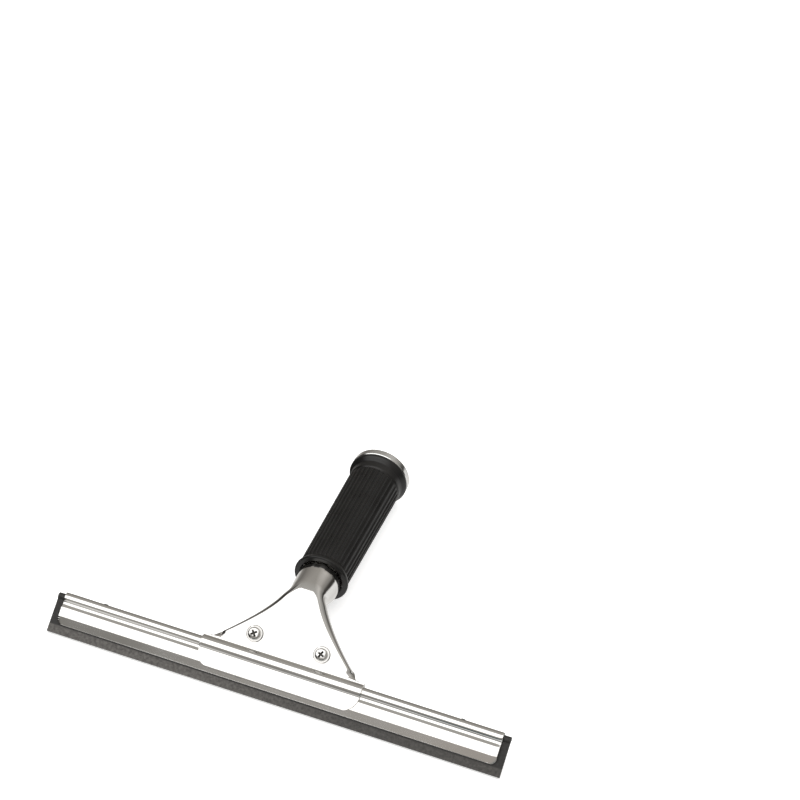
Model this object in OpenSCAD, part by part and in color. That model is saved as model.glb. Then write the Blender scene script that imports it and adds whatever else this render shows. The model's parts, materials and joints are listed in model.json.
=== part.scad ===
// Window cleaning squeegee: a rubber blade in a folded steel channel, clamped between a pressed
// front jaw and a back jaw by two screws, on a tilted tubular handle with a ribbed rubber grip.
// Millimetres, +Z up. It lies as it is put down: blade edge and handle end on the ground.
// Head pieces are drawn flat in the blade's own plane (X along the blade, Y from the working edge
// towards the handle, Z out of the front face) and are tilted into place by at_rest().

/* [Blade] */
// Length of the rubber blade
blade_len = 258; // [180:1:460]
// Height of the rubber from its working edge to the top of its bead
blade_h = 21.9; // [20:0.1:26]
// Thickness of the rubber web
web_t = 1.8; // [1.4:0.1:2.4]
// Diameter of the bead that holds the rubber in the channel
bead_d = 3.8; // [3.2:0.1:4.6]

/* [Channel] */
// Length of rubber standing out of each end of the channel
blade_overhang = 4; // [2:0.5:8]
// Thickness of the channel's steel
channel_wall = 0.6; // [0.4:0.1:0.8]
// Height of the channel's lips above the working edge
lip_v = 5.3; // [4:0.1:7]
// Height at which the channel's flanks bend in towards their lips
bend_v = 9.9; // [9:0.1:12]
// Half width of the channel's flat flanks, at the middle of the steel
flank_half = 2.4; // [2:0.1:3]
// Radius of the lower corners at the channel's ends
channel_corner_r = 3; // [1:0.5:4]

/* [Clips] */
// Distance from the end of the channel to the middle of a retaining clip
clip_inset = 23; // [12:1:30]
// Length of a clip's spring leaf
clip_len = 12; // [8:1:16]
// Length of the tang that locks the clip in its slot
tang_len = 2; // [1.5:0.5:6]
// How far the tang stands above the channel
tang_proud = 0.3; // [0.2:0.1:0.8]

/* [Head] */
// Width of the saddle that wraps the channel
saddle_w = 91.5; // [80:0.5:120]
// How far the head is clamped from the middle of the channel
head_offset = 1; // [-40:1:40]
// Thickness of the pressed steel of both jaws
sheet_t = 1; // [0.8:0.1:1.2]
// Height of the saddles' lower edges above the working edge
saddle_lip_v = 7.6; // [6:0.1:9]
// Radius of the saddles' lower corners
saddle_corner_r = 9.5; // [4:0.5:12]
// Half width of the front plate where it meets the saddle
plate_half = 42; // [38:0.5:45]
// Half width of the neck's front face at the waist
waist_half = 9.2; // [8:0.1:11]
// Height of the waist above the working edge
waist_v = 66; // [62:1:72]
// Depth of the folded side walls
wall_depth = 6; // [5:0.5:8]
// Radius of the fold along the plate's edges, near the saddle
fold_r = 2.8; // [2:0.1:3.5]
// Radius of the fold where the plate runs into the neck
neck_fold_r = 4.6; // [3.6:0.1:5]

/* [Screws] */
// Distance between the two clamping screws
screw_pitch = 38.2; // [34:0.1:42]
// Height of the screws above the working edge
screw_v = 32.4; // [30:0.1:35]
// Thread diameter of the screws
screw_d = 4; // [3:0.5:5]
// Diameter of the screw heads
screw_head_d = 6.8; // [6:0.1:8]
// Height of the screw heads
screw_head_h = 2.2; // [1.8:0.1:2.8]
// Outer diameter of the split lock washers
washer_d = 9.2; // [7:0.1:10]
// Thickness of the split lock washers
washer_t = 1; // [0.8:0.1:1.2]

/* [Handle] */
// Angle that the handle leans back from the blade's plane
handle_tilt = 39.4; // [30:0.2:45]
// Height at which the handle's front line would meet the plate
elbow_v = 63.2; // [60:0.1:68]
// Radius of the bend in the neck's front line
elbow_r = 16; // [15.5:0.5:18]
// Distance from the elbow to the mouth of the grip
grip_start = 21.3; // [19:0.1:24]
// Length of the rubber grip
grip_len = 88.7; // [70:0.1:130]
// Thickness of the grip's rubber at the lower end of its ribs
grip_low_wall = 2.4; // [2:0.1:3]
// Thickness of the grip's rubber at the upper end of its ribs
grip_high_wall = 3.2; // [2.4:0.1:4]
// Thickness of the lip round the grip's mouth
grip_lip_wall = 3.5; // [3:0.1:4.5]
// Thickness of the tube's steel
tube_wall = 1; // [0.8:0.1:1.5]
// Distance that the end ring and the grip's rim stand out from the tube
ring_wall = 5.2; // [4.4:0.1:7]
// Thickness of the end ring
ring_t = 4.6; // [3:0.2:7]

/* [Pole socket] */
// Bore of the socket for an extension pole
pole_bore_d = 19; // [16:0.5:23]
// Depth of the socket for an extension pole
pole_bore_depth = 60; // [40:1:80]
// Thickness of the socket's wall
socket_wall = 1.4; // [1:0.1:2]

/* [Hidden] */
$fn = 64;
slip = 0.2; // gap between pieces that slide on each other
hole_slip = 0.4; // how much wider a clearance hole is than its screw
thread_slip = 0.06; // radial gap of a screw in its nut
join = 0.3; // how far welded pieces run into each other
eps = 0.02;

// Blade and channel, in the blade's plane
bead_drop = 0.15; // the bead lies this far below the middle of its tube
channel_len = blade_len - 2 * blade_overhang;
bead_v = blade_h - bead_d / 2;
tube_v = bead_v + bead_drop;
groove_half = web_t / 2 + slip + channel_wall / 2;
bead_tube_r = bead_d / 2 + 2 * slip + channel_wall / 2;
groove_v = tube_v - bead_tube_r - 1;
flank_top_v = groove_v - 2;
lip_half = web_t / 2 + slip + channel_wall / 2;
channel_top_v = tube_v + bead_tube_r + channel_wall / 2;

// Jaws
saddle_off = channel_wall / 2 + slip + sheet_t / 2; // from the channel's steel to the saddle's
jaw_gap = 0.6; // between the two jaws' plates
plate_mid = jaw_gap / 2 + sheet_t / 2;
front_n = jaw_gap / 2 + sheet_t;
saddle_r = bead_tube_r + saddle_off;
saddle_top_v = tube_v + sqrt(pow(saddle_r, 2) - pow(plate_mid, 2));
plate_v0 = tube_v + saddle_r + sheet_t / 2 + slip; // where the folded side walls begin
flare_power = 1.5; // how sharply the plate's edges sweep out
back_top_v = 50; // upper edge of the back jaw

// Screws
screw_xs = [-screw_pitch / 2, screw_pitch / 2];
screw_turns = 3;
screw_grip = 11; // from under the head to the tip
screw_seat = front_n + washer_t + 0.1;
recess_w = 0.9; // width of the cross recess
recess_span = 3.6;
recess_depth = 1.3;
washer_split = 0.9;
nut_wall = 1.2;
nut_h = 3.2;

// Handle
socket_r = pole_bore_d / 2;
tube_r = socket_r + socket_wall + slip / 2 + tube_wall;
ring_r = tube_r + ring_wall;
tube_start = 16; // from the elbow to where the neck is fully round
grip_end = grip_start + grip_len;
handle_end = grip_end + ring_t;
mouth_depth = 5;
ring_round = 1.4;
socket_floor = 2;

// Where the handle's axis starts, and how the squeegee lies
axis_v = elbow_v - tube_r * sin(handle_tilt);
axis_n = front_n - tube_r * cos(handle_tilt);
foot_v = axis_v + (handle_end - ring_round) * cos(handle_tilt)
    - (ring_r - ring_round) * sin(handle_tilt);
foot_n = axis_n - (handle_end - ring_round) * sin(handle_tilt)
    - (ring_r - ring_round) * cos(handle_tilt);
foot_far = norm([foot_v, foot_n + web_t / 2]);
rest_tilt = atan2(-web_t / 2 - foot_n, foot_v) + asin(ring_round / foot_far);
handle_slope = handle_tilt - rest_tilt;
rest_y_low = -web_t / 2 * sin(rest_tilt);
rest_y_high = axis_v * cos(rest_tilt) - axis_n * sin(rest_tilt)
    + (handle_end - ring_round) * cos(handle_slope)
    + (ring_r - ring_round) * abs(sin(handle_slope)) + ring_round;
rest_y = -(rest_y_low + rest_y_high) / 2;
rest_z = web_t / 2 * cos(rest_tilt);

steel = [0.78, 0.78, 0.76];
dark_steel = [0.45, 0.45, 0.44];
black = [0.09, 0.09, 0.09];

// ---- Frames ----

// Tilts what is drawn in the blade's plane to how the squeegee lies
module at_rest() {
    translate([0, rest_y, rest_z]) rotate([rest_tilt, 0, 0]) children();
}

// The same for what is clamped with the head
module on_head() {
    at_rest() translate([head_offset, 0, 0]) children();
}

// Stands children on the handle's axis, with their Z towards the handle's free end
module on_handle() {
    on_head() translate([0, axis_v, axis_n]) rotate([-(90 + handle_tilt), 0, 0]) children();
}

// Draws a (height, depth) section along the blade
module along_blade(length) {
    rotate([90, 0, 90]) linear_extrude(length, center = true) children();
}

// ---- Folded sheet ----

function arc_points(centre, r, from, to, steps) =
    [for (i = [0:steps]) let (a = from + (to - from) * i / steps) centre + r * [cos(a), sin(a)]];
function unit(v) = v / norm(v);
function left_of(v) = [-v[1], v[0]];
// The direction that offsets a path's corner i evenly to both of its sides
function mitre(path, i) =
    let (
        before = i > 0 ? unit(path[i] - path[i - 1]) : unit(path[1] - path[0]),
        after = i < len(path) - 1 ? unit(path[i + 1] - path[i]) : before,
        middle = unit(left_of(before) + left_of(after))
    ) middle / (middle * left_of(before));
function offset_path(path, d) = [for (i = [0:len(path) - 1]) path[i] + d * mitre(path, i)];
function reversed(list) = [for (i = [len(list) - 1:-1:0]) list[i]];

// A sheet of the given thickness, folded along a path
module folded(path, thickness) {
    polygon(concat(offset_path(path, thickness / 2), reversed(offset_path(path, -thickness / 2))));
}

// Half of the channel's section, offset outwards by d, from a lower edge up to the bead's tube
function flank_path(d, low_v, low_half) = [
    [low_v, low_half + d],
    [bend_v, flank_half + d],
    [flank_top_v, flank_half + d],
    [groove_v, groove_half + d],
];
// Where the offset tube meets the groove, as an angle from straight down
function groove_angle(d) = asin((groove_half + d) / (bead_tube_r + d));
// Half width of the flank at a height between its lip and its bend
function lip_slope(v) = lip_half + (flank_half - lip_half) * (v - lip_v) / (bend_v - lip_v);

channel_path = let (
    half = concat(
        flank_path(0, lip_v, lip_half),
        arc_points([tube_v, 0], bead_tube_r, 180 - groove_angle(0), 0, 14)
    )
) concat(half, [for (i = [len(half) - 2:-1:0]) [half[i][0], -half[i][1]]]);

function saddle_path(top) = concat(
    flank_path(saddle_off, saddle_lip_v, lip_slope(saddle_lip_v)),
    arc_points([tube_v, 0], saddle_r, 180 - groove_angle(saddle_off), asin(plate_mid / saddle_r), 12),
    [[top, plate_mid]]
);

// A flat outline along the blade, from low to high, with round lower corners
module tongue(length, low, high, r) {
    translate([-length / 2, low + r]) square([length, high - low - r]);
    translate([-length / 2 + r, low]) square([length - 2 * r, r + eps]);
    for (side = [-1, 1]) translate([side * (length / 2 - r), low + r]) circle(r);
}

// ---- Blade, channel and clips ----

module blade_rubber() {
    color(black) at_rest() along_blade(blade_len) {
        translate([0, -web_t / 2]) square([bead_v, web_t]);
        translate([bead_v, 0]) circle(d = bead_d);
    }
}

module channel() {
    slot_v = tube_v + bead_tube_r - channel_wall;
    color(steel) at_rest() difference() {
        intersection() {
            along_blade(channel_len) folded(channel_path, channel_wall);
            linear_extrude(2 * bead_v, center = true)
                tongue(channel_len, lip_v - join, channel_top_v + 1, channel_corner_r);
        }
        for (side = [-1, 1])
            translate([side * (channel_len / 2 - clip_inset), slot_v + channel_wall, 0])
                cube([tang_len + slip, 2 * channel_wall + 1, leaf_w + slip], center = true);
    }
}

// A spring leaf under the top of the bead's tube, with a tang up through the channel's slot
leaf_t = 0.25;
leaf_w = 1.6;
leaf_angle = 50;
module clip(side) {
    leaf_r = bead_tube_r - channel_wall / 2 - eps;
    color(dark_steel) at_rest()
        translate([side * (channel_len / 2 - clip_inset), 0, 0]) {
            along_blade(clip_len) difference() {
                intersection() {
                    translate([tube_v, 0]) circle(leaf_r);
                    translate([tube_v, -leaf_r * sin(leaf_angle)])
                        square([leaf_r, 2 * leaf_r * sin(leaf_angle)]);
                }
                translate([tube_v, 0]) circle(leaf_r - leaf_t);
            }
            along_blade(tang_len) translate([tube_v + leaf_r - leaf_t, -leaf_w / 2])
                square([channel_top_v + tang_proud - tube_v - leaf_r + leaf_t, leaf_w]);
        }
}

// ---- Jaws ----

// Half width of the front plate at a height, out to the folded edge
function plate_edge(v) = waist_half + (plate_half - waist_half)
    * pow(max(0, (waist_v - v) / (waist_v - plate_v0)), flare_power);

// The front line runs up the plate, round the elbow and along the handle: [height, depth, lean]
bend_start = elbow_v - elbow_r * tan(handle_tilt / 2);
bend_run = elbow_r * handle_tilt * PI / 180;
function front_line(run) =
    run < bend_start ? [run, front_n, 0] :
    let (
        lean = min(handle_tilt, (run - bend_start) / elbow_r * 180 / PI),
        past = max(0, run - bend_start - bend_run)
    ) [
        bend_start + elbow_r * sin(lean) + past * cos(lean),
        front_n - elbow_r * (1 - cos(lean)) - past * sin(lean),
        lean
    ];

// The neck's section turns from a shallow channel with folded walls into an almost closed tube
round_from = bend_start - 2;
fold_grows = [34, 60]; // heights between which the fold opens towards the neck
round_to = bend_start + bend_run + tube_start - elbow_r * tan(handle_tilt / 2);
neck_end = round_to + 8;
seam_angle = 174; // how far each side of the tube wraps towards the seam at its back
fold_steps = 7;
function ease(x) = x * x * (3 - 2 * x);
function roundness(run) = ease(max(0, min(1, (run - round_from) / (round_to - round_from))));
function mix(a, b, k) = a + (b - a) * k;
function fold_at(run) = mix(fold_r, neck_fold_r,
    ease(max(0, min(1, (run - fold_grows[0]) / (fold_grows[1] - fold_grows[0])))));
function half_section(run, inset) =
    let (
        k = roundness(run),
        fold = fold_at(run),
        r = mix(fold, tube_r, k),
        flat = max(0.3, (plate_edge(run) - fold) * (1 - k)),
        wrap = mix(90, seam_angle, k),
        leg = mix(wall_depth - fold, 0.2, k),
        tip = [flat, r] + (r - inset) * [sin(wrap), -cos(wrap)]
    ) concat(
        [for (j = [0:fold_steps]) let (a = wrap * j / fold_steps)
            [flat, r] + (r - inset) * [sin(a), -cos(a)]],
        [tip + leg * [cos(wrap), sin(wrap)]]
    );
function mirrored(points) = [for (p = reversed(points)) [-p[0], p[1]]];
function whole_section(run) = concat(
    mirrored(half_section(run, 0)), half_section(run, 0),
    reversed(concat(mirrored(half_section(run, sheet_t)), half_section(run, sheet_t)))
);
function neck_ring(run) =
    let (at = front_line(run))
    [for (p = whole_section(run)) [p[0], at[0] - p[1] * sin(at[2]), at[1] - p[1] * cos(at[2])]];

plate_steps = 9;
neck_steps = 9;
neck_runs = concat(
    [for (i = [0:plate_steps]) mix(plate_v0, round_from, i / plate_steps)],
    [for (i = [1:neck_steps]) mix(round_from, round_to, i / neck_steps)],
    [neck_end]
);

module neck_shell() {
    rings = [for (run = neck_runs) neck_ring(run)];
    count = len(rings[0]);
    half = count / 2;
    last = len(rings) - 1;
    function at(ring, i) = ring * count + i % count;
    sides = [for (r = [0:last - 1], i = [0:count - 1])
        [at(r, i), at(r + 1, i), at(r + 1, i + 1), at(r, i + 1)]];
    caps = [for (i = [0:half - 2])
        each [[at(0, i), at(0, i + 1), at(0, count - 2 - i), at(0, count - 1 - i)],
            [at(last, i), at(last, count - 1 - i), at(last, count - 2 - i), at(last, i + 1)]]];
    polyhedron([for (ring = rings) each ring], concat(sides, caps), convexity = 6);
}

// The saddle's sheet, from its round-cornered lip over the bead to its top at the plate's foot
module saddle(top) {
    intersection() {
        along_blade(saddle_w) folded(saddle_path(top), sheet_t);
        linear_extrude(4 * saddle_r, center = true)
            tongue(saddle_w, saddle_lip_v - join, top, saddle_corner_r);
    }
}

module screw_holes(d) {
    for (x = screw_xs) translate([x, screw_v, 0]) cylinder(h = 4 * wall_depth, d = d, center = true);
}

module front_jaw() {
    color(steel) on_head() difference() {
        union() {
            saddle(plate_v0 + join);
            neck_shell();
        }
        screw_holes(screw_d + hole_slip);
    }
}

module back_jaw() {
    saddle_end = plate_v0 - slip; // clear of the front jaw's folded walls
    side_steps = 8;
    // how far the inside of the front jaw's fold reaches in at the back jaw's plate
    function fold_reach(r) = r - sqrt(r * r - pow(r - jaw_gap, 2));
    edge = [for (i = [0:side_steps]) let (v = mix(saddle_end - join, back_top_v, i / side_steps))
        [plate_edge(v) - sheet_t - 2 * slip - fold_reach(fold_at(v) - sheet_t), v]];
    color(steel) on_head() mirror([0, 0, 1]) difference() {
        union() {
            saddle(saddle_end);
            translate([0, 0, jaw_gap / 2]) linear_extrude(sheet_t)
                polygon(concat(edge, [for (p = reversed(edge)) [-p[0], p[1]]]));
        }
        screw_holes(screw_d + hole_slip);
    }
}

// ---- Screws, washers and nuts ----

module at_screw(x) {
    on_head() translate([x, screw_v, 0]) children();
}

module screw(x) {
    color(dark_steel) at_screw(x) difference() {
        union() {
            translate([0, 0, screw_seat - screw_grip]) cylinder(h = screw_grip, d = screw_d);
            translate([0, 0, screw_seat]) rotate_extrude() pan_section();
        }
        translate([0, 0, screw_seat + screw_head_h - recess_depth]) for (turn = [0, 90])
            rotate([0, 0, turn]) translate([-recess_span / 2, -recess_w / 2, 0])
                cube([recess_span, recess_w, recess_depth + 1]);
    }
}

// Half section of a pan head, rounded over its upper edge
module pan_section() {
    edge_r = screw_head_h / 2;
    square([screw_head_d / 2 - edge_r, screw_head_h]);
    square([screw_head_d / 2, screw_head_h - edge_r]);
    translate([screw_head_d / 2 - edge_r, screw_head_h - edge_r]) circle(edge_r);
}

module washer(x) {
    split_turn = 130;
    color(dark_steel) at_screw(x) translate([0, 0, front_n]) difference() {
        cylinder(h = washer_t, d = washer_d);
        translate([0, 0, -1]) cylinder(h = washer_t + 2, d = screw_d + hole_slip);
        rotate([0, 0, split_turn]) translate([0, -washer_split / 2, -1])
            cube([washer_d, washer_split, washer_t + 2]);
    }
}

module nut(x) {
    color(dark_steel) at_screw(x) translate([0, 0, -front_n - nut_h]) difference() {
        cylinder(h = nut_h, d = screw_d + 2 * nut_wall);
        translate([0, 0, -1]) cylinder(h = nut_h + 2, r = screw_d / 2 + thread_slip);
    }
}

// ---- Handle ----

module handle_tube() {
    from = tube_start + 8;
    color(steel) on_handle() translate([0, 0, from]) difference() {
        cylinder(h = handle_end - from, r = tube_r);
        translate([0, 0, -1]) cylinder(h = handle_end - from + 2, r = tube_r - tube_wall);
    }
}

module grip() {
    lip_r = tube_r + grip_lip_wall;
    low_r = tube_r + grip_low_wall;
    high_r = tube_r + grip_high_wall;
    mouth_r = tube_r + 0.6;
    lip_len = 3;
    collar_len = 9;
    rim_len = 4;
    color(black) on_handle() rotate_extrude() polygon([
        [mouth_r, grip_start],
        [lip_r - 0.6, grip_start],
        [lip_r, grip_start + lip_len / 2],
        [low_r, grip_start + 2 * lip_len],
        [high_r, grip_end - collar_len],
        [high_r, grip_end - rim_len],
        [ring_r, grip_end - rim_len / 2],
        [ring_r, grip_end],
        [tube_r, grip_end],
        [tube_r, grip_start + mouth_depth],
    ]);
}

module end_ring() {
    color(steel) on_handle() translate([0, 0, grip_end]) rotate_extrude() {
        translate([tube_r, 0]) square([ring_wall, ring_t - ring_round]);
        translate([tube_r, 0]) square([ring_wall - ring_round, ring_t]);
        translate([ring_r - ring_round, ring_t - ring_round]) circle(ring_round);
    }
}

module pole_socket() {
    depth = pole_bore_depth + socket_floor;
    color(black) on_handle() translate([0, 0, handle_end - depth]) difference() {
        cylinder(h = depth, r = socket_r + socket_wall);
        translate([0, 0, socket_floor]) cylinder(h = depth, r = socket_r);
    }
}

blade_rubber();
channel();
clip(-1);  // left_clip
clip(1);  // right_clip
front_jaw();
back_jaw();
screw(screw_xs[0]);  // left_screw
screw(screw_xs[1]);  // right_screw
washer(screw_xs[0]);  // left_washer
washer(screw_xs[1]);  // right_washer
nut(screw_xs[0]);  // left_nut
nut(screw_xs[1]);  // right_nut
handle_tube();
grip();
end_ring();
pole_socket();
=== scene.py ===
# %% [markdown]
# # A window cleaning squeegee
# The real tool is mostly folded sheet: a channel drawn from stainless strip, two pressed jaws and a
# rolled neck. The rest is rubber. Every size here is in millimetres in the blade's own plane and is
# turned into the frame's metres by one function, so the looks can't drift away from the design.

import json
import math

import bmesh
import bpy
import numpy as np
from mathutils import Matrix, Vector


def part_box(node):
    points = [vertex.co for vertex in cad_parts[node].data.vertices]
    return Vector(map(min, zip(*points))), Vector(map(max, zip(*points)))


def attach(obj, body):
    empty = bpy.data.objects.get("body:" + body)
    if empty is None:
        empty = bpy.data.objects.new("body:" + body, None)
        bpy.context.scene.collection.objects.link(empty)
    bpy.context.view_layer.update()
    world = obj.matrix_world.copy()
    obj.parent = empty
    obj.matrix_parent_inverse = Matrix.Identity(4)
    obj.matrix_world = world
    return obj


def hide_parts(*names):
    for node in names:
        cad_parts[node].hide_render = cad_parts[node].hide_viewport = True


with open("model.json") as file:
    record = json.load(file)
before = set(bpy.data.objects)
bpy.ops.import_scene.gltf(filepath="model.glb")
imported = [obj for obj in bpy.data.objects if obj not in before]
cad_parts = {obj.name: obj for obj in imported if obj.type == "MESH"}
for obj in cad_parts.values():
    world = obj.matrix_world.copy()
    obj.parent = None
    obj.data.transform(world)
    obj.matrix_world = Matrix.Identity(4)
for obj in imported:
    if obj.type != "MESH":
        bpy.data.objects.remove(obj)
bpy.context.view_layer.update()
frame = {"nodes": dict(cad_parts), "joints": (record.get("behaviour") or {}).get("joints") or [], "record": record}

# %% [markdown]
# ## Where things are
# The blade's plane and the handle's axis are read from the frame: the working edge and the pole's
# bore are mounts, and the screws' joints give the direction that the front face looks in. Two small
# functions then place a point given as (along the blade, height, depth) or as (angle, radius,
# distance along the handle), which is far easier than working in the tilted directions.

# %% Axes of the blade and of the handle
MM = 0.001
mounts = {mount["name"]: mount for mount in frame["record"]["mounts"]}
joints = {joint["name"]: joint for joint in frame["joints"]}
ALONG = np.array([1.0, 0.0, 0.0])
FACE = np.array(joints["left_screw_turn"]["axis"], float)
UP_BLADE = np.cross(FACE, ALONG)
EDGE = np.array(mounts["working_edge"]["pos_m"], float)
HANDLE = np.array(mounts["pole_bore"]["axis"], float)
HANDLE_FRONT = np.cross(ALONG, HANDLE)
TILT = math.atan2(-float(HANDLE @ FACE), float(HANDLE @ UP_BLADE))
SIDES = ("left", "right")
screw_points = [np.array(joints[side + "_screw_turn"]["pos_m"], float) for side in SIDES]
HEAD_X = float(screw_points[0][0] + screw_points[1][0]) / 2 / MM


def blade_points(points):
    """Turns rows of (along, height, depth) in millimetres into metres in the frame."""
    points = np.asarray(points, float) * MM
    return EDGE + points[..., 0:1] * ALONG + points[..., 1:2] * UP_BLADE + points[..., 2:3] * FACE


print("the handle leans back", round(math.degrees(TILT), 2), "degrees; head at x =", round(HEAD_X, 2))

# %% [markdown]
# ## The driving sizes
# These repeat the design's own values. The channel's section, the saddle over it and the plate all
# follow from them, as they do on a press tool.

# %% Sizes in millimetres
blade_low, blade_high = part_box("blade_rubber")
channel_low, channel_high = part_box("channel")
blade_len = (blade_high.x - blade_low.x) / MM
channel_len = (channel_high.x - channel_low.x) / MM
blade_h = 21.9
web_t = 1.8
bead_d = 3.8
wall = 0.6
lip_v = 5.3
bend_v = 9.9
flank_half = 2.4
slip = 0.2
sheet = 1.0
jaw_gap = 0.6
saddle_w = 91.5
saddle_lip_v = 7.6
saddle_corner_r = 9.5
screw_hole_r = 2.2

bead_v = blade_h - bead_d / 2
tube_v = bead_v + 0.15
bead_tube_r = bead_d / 2 + 2 * slip + wall / 2
groove_half = web_t / 2 + slip + wall / 2
groove_v = tube_v - bead_tube_r - 1
front_n = jaw_gap / 2 + sheet
saddle_off = wall / 2 + slip + sheet / 2
plate_v0 = tube_v + bead_tube_r + saddle_off + sheet / 2 + slip
print("channel", round(channel_len, 1), "mm long, bead tube at", round(tube_v, 2), "mm")

# %% [markdown]
# ## The handle's axis
# A point on the handle is given by how far along the axis it is, how far out, and at which angle
# round it. Angle 0 faces the same way as the blade's front.

# %% Points round the handle
elbow_v = 63.2
elbow_r = 16.0
tube_r = 12.0
ring_wall = 5.2
grip_start = 21.3
grip_end = 110.0
ring_t = 4.6
handle_end = grip_end + ring_t
ring_r = tube_r + ring_wall
AXIS_START = blade_points(
    [HEAD_X, elbow_v - tube_r * math.sin(TILT), front_n - tube_r * math.cos(TILT)]
)


def handle_points(angle, radius, distance):
    """Metres in the frame, from radians round the handle and millimetres out and along."""
    angle, radius, distance = np.broadcast_arrays(angle, radius, distance)
    out = np.cos(angle)[..., None] * HANDLE_FRONT + np.sin(angle)[..., None] * ALONG
    return AXIS_START + MM * (radius[..., None] * out + distance[..., None] * HANDLE)


# %% [markdown]
# ## Mesh helpers
# Most pieces are a grid of points in rows and columns. One helper turns such a grid into a mesh,
# closing it round where asked. Others give a surface its sheet's thickness, cut real holes, and
# turn an outline round the handle's axis.

# %% Grid, thickness and holes
scene = bpy.context.scene


def add_piece(mesh, material=None):
    """Links a mesh as a piece of the same name at the origin, shaded smooth."""
    piece = bpy.data.objects.new(mesh.name, mesh)
    scene.collection.objects.link(piece)
    mesh.shade_smooth()
    if material:
        mesh.materials.append(material)
    return piece


def grid_mesh(name, points, close_rows=False, close_columns=False, cap_rows=False):
    """A mesh from points[row, column]; the caps close its first and last row with a fan."""
    points = np.asarray(points, float)
    rows, columns = points.shape[:2]
    index = np.arange(rows * columns).reshape(rows, columns)
    down = np.arange(rows if close_rows else rows - 1)
    across = np.arange(columns if close_columns else columns - 1)
    r, c = np.meshgrid(down, across, indexing="ij")
    r2, c2 = (r + 1) % rows, (c + 1) % columns
    faces = np.stack([index[r, c], index[r, c2], index[r2, c2], index[r2, c]], -1).reshape(-1, 4)
    vertices = points.reshape(-1, 3).tolist()
    faces = faces.tolist()
    if cap_rows:
        for ring in (index[0], index[-1]):
            middle = len(vertices)
            vertices.append(points.reshape(-1, 3)[ring].mean(0).tolist())
            faces += [[middle, int(a), int(b)] for a, b in zip(ring, np.roll(ring, -1))]
    mesh = bpy.data.meshes.new(name)
    mesh.from_pydata(vertices, [], faces)
    mesh.update()
    return mesh


def face_outwards(mesh):
    """Merges doubles and turns the faces of a closed mesh outwards."""
    work = bmesh.new()
    work.from_mesh(mesh)
    bmesh.ops.remove_doubles(work, verts=work.verts, dist=1e-6)
    bmesh.ops.dissolve_degenerate(work, edges=work.edges, dist=1e-7)
    bmesh.ops.recalc_face_normals(work, faces=work.faces)
    work.to_mesh(mesh)
    work.free()
    mesh.update()


def bake_modifiers(piece):
    """Replaces a piece's mesh by what its modifiers make of it, and removes them."""
    depsgraph = bpy.context.evaluated_depsgraph_get()
    finished = bpy.data.meshes.new_from_object(piece.evaluated_get(depsgraph))
    piece.modifiers.clear()
    old = piece.data
    piece.data = finished
    finished.name = piece.name
    bpy.data.meshes.remove(old)
    finished.shade_smooth()
    return piece


def thicken(piece, thickness, edge=0.15, segments=2):
    """Gives a surface the thickness of sheet behind its faces, with softly broken edges."""
    solid = piece.modifiers.new("sheet", "SOLIDIFY")
    solid.thickness = thickness * MM
    solid.offset = -1
    solid.use_even_offset = True
    bevel = piece.modifiers.new("broken_edge", "BEVEL")
    bevel.width = edge * MM
    bevel.segments = segments
    bevel.limit_method = "ANGLE"
    bevel.angle_limit = math.radians(50)
    bevel.harden_normals = True
    return bake_modifiers(piece)


def cut(piece, cutters):
    """Cuts the cutters' shapes out of a piece, then deletes them."""
    for cutter in cutters:
        hole = piece.modifiers.new("hole", "BOOLEAN")
        hole.operation = "DIFFERENCE"
        hole.solver = "EXACT"
        hole.object = cutter
    bake_modifiers(piece)
    for cutter in cutters:
        bpy.data.objects.remove(cutter)
    return piece


def drill(at, axis, radius, length, steps=40):
    """A cylinder to cut with: centred at a point in metres, with its size in millimetres."""
    work = bmesh.new()
    turn = Vector(axis).to_track_quat("Z", "Y").to_matrix().to_4x4()
    bmesh.ops.create_cone(
        work, cap_ends=True, segments=steps, radius1=radius * MM, radius2=radius * MM,
        depth=length * MM, matrix=Matrix.Translation(Vector(at)) @ turn,
    )
    mesh = bpy.data.meshes.new("drill")
    work.to_mesh(mesh)
    work.free()
    return add_piece(mesh)


def closed_mesh(name, points, close_rows=False):
    """A closed mesh from a grid that is closed round; its ends are capped unless its rows close."""
    mesh = grid_mesh(name, points, close_rows, close_columns=True, cap_rows=not close_rows)
    face_outwards(mesh)
    return mesh


def revolve(name, profile, steps):
    """Turns a closed (radius, distance) outline round the handle's axis."""
    profile = np.asarray(profile, float)
    angles = np.linspace(0, 2 * math.pi, steps, endpoint=False)
    points = handle_points(angles[None, :], profile[:, 0:1], profile[:, 1:2])
    return closed_mesh(name, points, close_rows=True)


def sharpen(piece, degrees):
    """Keeps edges crisp where two faces meet at more than an angle."""
    piece.data.set_sharp_from_angle(angle=math.radians(degrees))


# %% [markdown]
# ## Paths with soft bends
# Sheet never bends at a perfect corner: every fold has a radius. A path of straight runs and arcs is
# walked at even steps and averaged over a short window, which rounds each corner by about that much
# and leaves the straights alone.

# %% Path helpers
def arc(centre, radius, start, end, steps):
    """Points on an arc, with its angles in degrees."""
    turn = np.radians(np.linspace(start, end, steps + 1))
    return np.stack([centre[0] + radius * np.cos(turn), centre[1] + radius * np.sin(turn)], -1)


def walk(path, step):
    """The same path with its points at even steps."""
    path = np.asarray(path, float)
    lengths = np.r_[0, np.cumsum(np.linalg.norm(np.diff(path, axis=0), axis=1))]
    count = max(2, int(round(lengths[-1] / step)) + 1)
    at = np.linspace(0, lengths[-1], count)
    return np.stack([np.interp(at, lengths, path[:, k]) for k in range(path.shape[1])], -1)


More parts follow.
